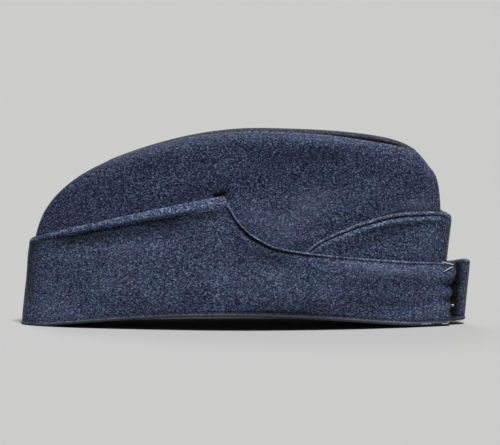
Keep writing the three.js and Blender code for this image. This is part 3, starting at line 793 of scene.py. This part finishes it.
def front_peak():
    """Left half of the peak, from its hidden end to the front of the crown."""
    u = np.linspace(rim_share(PEAK_END), 1, PEAK_STEPS)
    stations = SideStations(u, GAP + 0 * u, PEAK_WALL, peak_edge)
    return fold_section(stations, PEAK_WALL, GAP + CROWN_WALL + 0 * stations.rise, peak_edge, PEAK_DENTS)


def closing(section):
    """Triangles that close a section, between its way out to its farthest place and its way back."""
    far = int(np.argmax(np.linalg.norm(section - section[0], axis=-1)))
    back = [*range(len(section) - 1, far, -1), far]
    out_at, back_at = (along_line(way) / along_line(way)[-1] for way in (section[:far + 1], section[back]))
    triangles, a, b = [], 0, 0
    while a < far or b < len(back) - 1:
        ahead = b == len(back) - 1 or (a < far and out_at[a + 1] < back_at[b + 1])
        triangles.append((a, back[b], a + 1 if ahead else back[b + 1]))
        a, b = (a + 1, b) if ahead else (a, b + 1)
    return np.array([face for face in triangles if len(set(face)) == 3])


def grid_faces(stations, rows):
    """Numbers of a grid's points, and its faces, with the rows closed to a ring."""
    index = np.arange(stations * rows).reshape(stations, rows)
    ahead = np.roll(index, -1, axis=1)
    return index, np.stack([index[:-1], ahead[:-1], ahead[1:], index[1:]], axis=-1).reshape(-1, 4)


def new_mesh(name, points, faces):
    """Smooth mesh, in metres, from points in millimetres."""
    mesh = bpy.data.meshes.new(name)
    mesh.from_pydata((points * MM).tolist(), [], faces)
    mesh.shade_smooth()
    return mesh


def placed(name, data):
    """New object in the scene."""
    made = bpy.data.objects.new(name, data)
    bpy.context.scene.collection.objects.link(made)
    return made


def cloth_mesh(name, cloth):
    """Mesh of a lofted piece, with its cloth lengths as a map and its looks as attributes."""
    points = cloth.points
    stations, rows = points.shape[:2]
    index, quads = grid_faces(stations, rows)
    flat = points.reshape(-1, 3)
    a, b, c, d = np.moveaxis(flat[quads], 1, 0)
    volume = np.sum(np.cross(a, b) * c) + np.sum(np.cross(a, c) * d)
    first, last = closing(points[0]), closing(points[-1]) + index[-1, 0]
    faces = [*quads.tolist(), *first.tolist(), *last[:, ::-1].tolist()]
    if volume < 0:
        faces = [face[::-1] for face in faces]
    mesh = new_mesh(name, flat, faces)
    for cap in mesh.polygons[len(quads):]:
        cap.use_smooth = False
    length = np.cumsum(np.linalg.norm(np.diff(points, axis=0, prepend=points[:1]), axis=-1).mean(axis=1))
    height = np.cumsum(np.linalg.norm(np.diff(points, axis=1, prepend=points[:, :1]), axis=-1), axis=1)
    cloth_map = np.stack(np.broadcast_arrays(length[:, None], height), axis=-1).reshape(-1, 2)
    layer = mesh.uv_layers.new(name="cloth")
    loops = np.empty(len(mesh.loops), int)
    mesh.loops.foreach_get("vertex_index", loops)
    layer.data.foreach_set("uv", (cloth_map[loops] / CLOTH_UNIT).ravel().astype(np.float32))
    for key in Cloth._fields[1:]:
        attribute = mesh.attributes.new(key, "FLOAT", "POINT")
        attribute.data.foreach_set("value", getattr(cloth, key).ravel().astype(np.float32))
    mesh.update()
    return mesh


def outer_side(cloth, rows):
    """First rows of a piece's left-hand form, and its normals there, turned outward."""
    normals = grid_normals(cloth.points)
    normals *= np.sign(normals[:, GROOVE_ROW // 2, 1].mean())
    return cloth.points[:, :rows], normals[:, :rows]


def groove_line(cloth, first):
    """Line along the groove under a piece's hem, from a place along x, and its normals."""
    points, normals = outer_side(cloth, GROOVE_ROW + 1)
    inside = points[:, GROOVE_ROW, 0] > first
    return points[inside, GROOVE_ROW], normals[inside, GROOVE_ROW - 2]


def foot_line(cloth, high):
    """Line along a piece's face at a height above its foot, and its normals."""
    side = outer_side(cloth, GROOVE_ROW)
    rise = side[0][..., 2] - side[0][:, :1, 2]
    return [np.array([read_line(high, *pair) for pair in zip(rise, values)]) for values in side]


def tube(points, half):
    """Rings round a line of points, tapered to both ends, as vertices and faces."""
    way = unit(np.gradient(points, axis=0))
    across = unit(np.cross(way, ASIDE))
    over = np.cross(way, across)
    t = np.linspace(-1, 1, len(points))
    taper = half * np.sqrt(np.maximum(1 - TUBE_TAPER * t ** TUBE_POWER, 0))
    angle = 2 * np.pi * np.arange(TUBE_SIDES)[:, None] / TUBE_SIDES
    rings = across[:, None] * np.cos(angle) + over[:, None] * np.sin(angle)
    rings = points[:, None] + taper[:, None, None] * rings
    index, faces = grid_faces(len(points), TUBE_SIDES)
    return rings.reshape(-1, 3), [*faces.tolist(), index[0][::-1].tolist(), index[-1].tolist()]


def stitches(line, stitch):
    """Stitches along a line with normals, each dipping into the cloth at both ends."""
    points, normals = line
    length = along_line(points)
    lift = stitch.rise * np.sin(np.linspace(0, np.pi, STITCH_STEPS)) - stitch.sink
    tubes = []
    for start in np.arange(stitch.gap, length[-1] - stitch.long, stitch.long + stitch.gap):
        at = np.linspace(start, start + stitch.long, STITCH_STEPS)
        bent = read_line(at, length, points) + read_line(at, length, normals) * lift[:, None]
        tubes.append(tube(bent, stitch.half))
    return tubes


def curtain_stitches(cloth):
    edge = stitches(groove_line(cloth, SCOOP_STITCH_FROM), EDGE_STITCH)
    return edge + stitches(foot_line(cloth, FOOT_LINE), FOOT_STITCH)


def lying(threads, cloth, rows):
    """Short bowed threads on the first rows of a piece, placed as seen from its side."""
    points, normals = (part.reshape(-1, 3) for part in outer_side(cloth, rows))
    tubes = []
    t = np.linspace(0, 1, THREAD_STEPS)
    for row in threads:
        x = lerp(row.x, row.to_x, t)
        z = lerp(row.z, row.to_z, t) + row.bend * np.sin(np.pi * t)
        near = [np.argmin((points[:, 0] - x[k]) ** 2 + (points[:, 2] - z[k]) ** 2) for k in (0, -1)]
        y = lerp(points[near[0], 1], points[near[1], 1], t)
        out = normals[near].mean(axis=0)
        line = np.stack([x, y, z], axis=-1) + out * (row.lift + row.bow * np.sin(np.pi * t))[:, None]
        tubes.append(tube(line, row.half))
    return tubes


def on_right(tubes):
    """Tubes moved to the right side, with their faces still turned outward."""
    return [(points * (1, -1, 1), [face[::-1] for face in faces]) for points, faces in tubes]


def feed(tree, made, values):
    """Links or sets some of a node's inputs."""
    for key, value in values.items():
        if isinstance(value, bpy.types.NodeSocket):
            tree.links.new(value, made.inputs[key])
        else:
            made.inputs[key].default_value = value


def node(tree, kind, output, values, **settings):
    """Output of a new shader node."""
    made = tree.nodes.new("ShaderNode" + kind)
    for key, value in settings.items():
        setattr(made, key, value)
    feed(tree, made, values)
    return made.outputs[output]


def ramp(tree, source, stops):
    """Colours for a value from 0 to 1."""
    made = tree.nodes.new("ShaderNodeValToRGB")
    elements = made.color_ramp.elements
    while len(elements) < len(stops):
        elements.new(0.5)
    for element, (place, colour) in zip(elements, stops):
        element.position = place
        element.color = (*colour, 1)
    tree.links.new(source, made.inputs["Fac"])
    return made.outputs["Color"]


def mix(tree, blend, a, b, factor=1):
    return node(tree, "Mix", 2, {0: factor, 6: a, 7: b}, data_type="RGBA", blend_type=blend)


def maths(tree, operation, a, b):
    return node(tree, "Math", 0, {0: a, 1: b}, operation=operation)


def noise(tree, place, scale, detail, roughness):
    values = {"Vector": place, "Scale": scale, "Detail": detail, "Roughness": roughness}
    return node(tree, "TexNoise", "Fac", values)


def scaled(tree, place, scale, turn=0):
    return node(tree, "Mapping", "Vector", {"Vector": place, "Scale": scale, "Rotation": (0, 0, turn)})


def bump(tree, height, strength, distance, **below):
    values = {"Height": height, "Strength": strength, "Distance": distance, **below}
    return node(tree, "Bump", "Normal", values)


def new_material(name):
    """Material with its node tree, its shader, and the place on the object in metres."""
    material = bpy.data.materials.new(name)
    material.use_nodes = True
    tree = material.node_tree
    return material, tree, tree.nodes["Principled BSDF"], node(tree, "TexCoord", "Object", {})


def wool_serge(name, shade, flecked):
    """Napped serge: flecked yarn in a steep twill, faint patches of tint, pale worn edges with painted
    highlights, and painted light and shade.
    """
    material, tree, shader, metres = new_material(name)
    place = scaled(tree, metres, (1 / MM,) * 3)
    fleck = noise(tree, scaled(tree, place, FLECK_STRETCH), *FLECK)
    patch, nap, lint = (noise(tree, place, *grain) for grain in (PATCH, NAP, LINT))
    cloth = node(tree, "UVMap", "UV", {}, uv_map="cloth")
    yarn = scaled(tree, cloth, (CLOTH_UNIT,) * 3, TWILL_TURN)
    twill = node(tree, "TexWave", "Fac", {"Vector": yarn, **TWILL}, bands_direction="X")
    worn, frayed, dark, tone = (
        node(tree, "Attribute", "Fac", {}, attribute_name=key) for key in Cloth._fields[1:])

    colour = ramp(tree, fleck, [(0.5 + (at - 0.5) / flecked, shown) for at, shown in WOOL])
    for part in (ramp(tree, patch, TINT), shade, ramp(tree, nap, CLUMPS)):
        colour = mix(tree, "MULTIPLY", colour, part)
    even = tuple(part * cast for part, cast in zip(EVEN_COLOUR, shade))
    # Places with painted light are mixed towards an even colour
    colour = mix(tree, "MIX", colour, even, maths(tree, "MULTIPLY", tone, EVEN_OUT))
    # Painted shade darkens the colour, and the dents' painted light and shade lighten or darken it
    unshaded = maths(tree, "SUBTRACT", 1, maths(tree, "MULTIPLY", dark, SHADE_MOST))
    for part in (maths(tree, "ADD", tone, 1), ramp(tree, twill, RIB), unshaded):
        colour = mix(tree, "MULTIPLY", colour, part)
    # Paler colour for worn edges and for painted highlights
    rubbed_and_lit = mix(tree, "MULTIPLY", colour, WEAR_AND_HIGHLIGHT_COLOUR)
    for wear, pale, most in ((worn, rubbed_and_lit, WEAR_AND_HIGHLIGHT_MOST), (frayed, FRAYED, FRAYED_MOST)):
        patchy = maths(tree, "MULTIPLY", maths(tree, "MULTIPLY", wear, nap), WEAR_PATCHY)
        colour = mix(tree, "MIX", colour, pale, maths(tree, "MINIMUM", patchy, most))
    colour = mix(tree, "ADD", colour, ramp(tree, lint, LINT_SPECKS))
    ribbed = bump(tree, twill, *RIB_BUMP, Normal=bump(tree, fleck, *FLECK_BUMP))
    feed(tree, shader, {"Base Color": colour, "Normal": ribbed, **WOOL_FINISH})
    return material


def thread(name, colour):
    """Twisted sewing thread, with a little variation along it."""
    material, tree, shader, metres = new_material(name)
    place = scaled(tree, metres, (1 / MM,) * 3)
    twist = node(tree, "TexWave", "Fac", {"Vector": place, **TWIST}, bands_direction="DIAGONAL")
    shades = [(at, tuple(min(share * part, 1) for part in colour)) for at, share in FIBRE_SHADES]
    shown, twisted = ramp(tree, noise(tree, place, *FIBRE), shades), bump(tree, twist, *TWIST_BUMP)
    feed(tree, shader, {"Base Color": shown, "Normal": twisted, "Roughness": 0.9, "Specular IOR Level": 0.1})
    return material


def floor_material():
    material, tree, shader, metres = new_material("pale_floor")
    colour = ramp(tree, noise(tree, metres, *FLOOR_GRAIN), FLOOR_GREYS)
    feed(tree, shader, {"Base Color": colour, "Roughness": 0.8})
    return material


def set_stage():
    """Floor, soft light and the photo's view."""
    scene = bpy.context.scene
    scene.view_settings.view_transform = "Standard"
    world = bpy.data.worlds.new("studio")
    world.use_nodes = True
    tree = world.node_tree
    feed(tree, tree.nodes["Background"], {"Color": ROOM_COLOUR, "Strength": ROOM_LIGHT})
    scene.world = world
    mesh = bpy.data.meshes.new("floor")
    corners = [(x * FLOOR_HALF, y * FLOOR_HALF, 0) for x, y in ((-1, -1), (1, -1), (1, 1), (-1, 1))]
    mesh.from_pydata(corners, [], [(0, 1, 2, 3)])
    mesh.materials.append(floor_material())
    floor = placed("floor", mesh)
    for lamp in LAMPS:
        light = bpy.data.lights.new(lamp.name, "SUN")
        light.angle = math.radians(lamp.spread)
        light.energy = lamp.power
        placed(lamp.name, light).rotation_euler = (math.radians(90 - lamp.up), 0, math.radians(lamp.right))
    camera = bpy.data.cameras.new("camera")
    camera.sensor_fit = "HORIZONTAL"
    camera.sensor_width = SENSOR
    camera.lens = SENSOR * CAMERA_AWAY / FRAME_WIDE
    camera.clip_end = CLIP_END
    eye = placed("camera", camera)
    up = math.radians(CAMERA_UP)
    x, y, z = CAMERA_AT
    eye.location = [MM * part for part in (x, y - CAMERA_AWAY * math.cos(up), z + CAMERA_AWAY * math.sin(up))]
    eye.rotation_euler = (math.pi / 2 - up, 0, 0)
    scene.camera = eye


set_stage()
wools = {slot: wool_serge(slot, *look) for slot, look in WOOLS.items()}
threads = {name: thread(name, colour) for name, colour in THREADS.items()}


def dress(name, cloth, replaced, slot):
    """Piece of cloth in place of a solid."""
    piece = placed(name, cloth_mesh(name, cloth))
    piece.data.materials.append(wools[slot])
    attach(piece, "root")
    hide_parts(replaced)
    return piece


def sew(name, tubes, colour):
    """One piece from many lengths of thread."""
    points, rings = zip(*tubes)
    starts = np.cumsum([0, *map(len, points)])
    faces = [[k + start for k in face] for start, ring in zip(starts, rings) for face in ring]
    piece = placed(name, new_mesh(name, np.concatenate(points), faces))
    piece.data.materials.append(threads[colour])
    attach(piece, "root")
    return piece


panel, peak_half, curtain_right, curtain_left = crown_panel(), front_peak(), curtain("right"), curtain("left")
crown_panel_right = dress("crown_panel_right", slumped(panel), "crown_right", "crown_serge")
crown_panel_left = dress("crown_panel_left", panel, "crown_left", "crown_serge")
gusset = dress("crown_gusset", crown_gusset(), "crown_top", "crown_serge")
whole_peak = join(mirrored(peak_half), Cloth(*(part[::-1] for part in peak_half)))
peak = dress("peak", whole_peak, "front_peak", "peak_serge")
half_right = dress("curtain_half_right", mirrored(curtain_right), "curtain_right", "curtain_serge")
half_left = dress("curtain_half_left", curtain_left, "curtain_left", "curtain_serge")

right_line, left_line = on_right(curtain_stitches(curtain_right)), curtain_stitches(curtain_left)
peak_line = stitches(groove_line(peak_half, PEAK_STITCH_FROM), EDGE_STITCH)
tack, tack_ends = (lying(rows, panel, CROWN_OUTER_ROWS) for rows in (TACK_DARK, TACK_PALE))
strap_pale, strap_white = (
    on_right(lying(rows, curtain_right, GROOVE_ROW + HEM_ROWS)) for rows in (STRAP_PALE, STRAP_WHITE))
stitching_right = sew("stitching_right", right_line, "blue_thread")
stitching_left = sew("stitching_left", left_line, "blue_thread")
stitching_peak = sew("stitching_peak", peak_line + on_right(peak_line), "blue_thread")
tacks = [sew("corner_tacks", tack + on_right(tack), "black_thread"),
         sew("corner_tack_ends", tack_ends + on_right(tack_ends), "pale_thread")]
strap_ends = [sew("strap_end_stitches", strap_pale, "pale_thread"),
              sew("strap_end_knot", strap_white, "white_thread")]
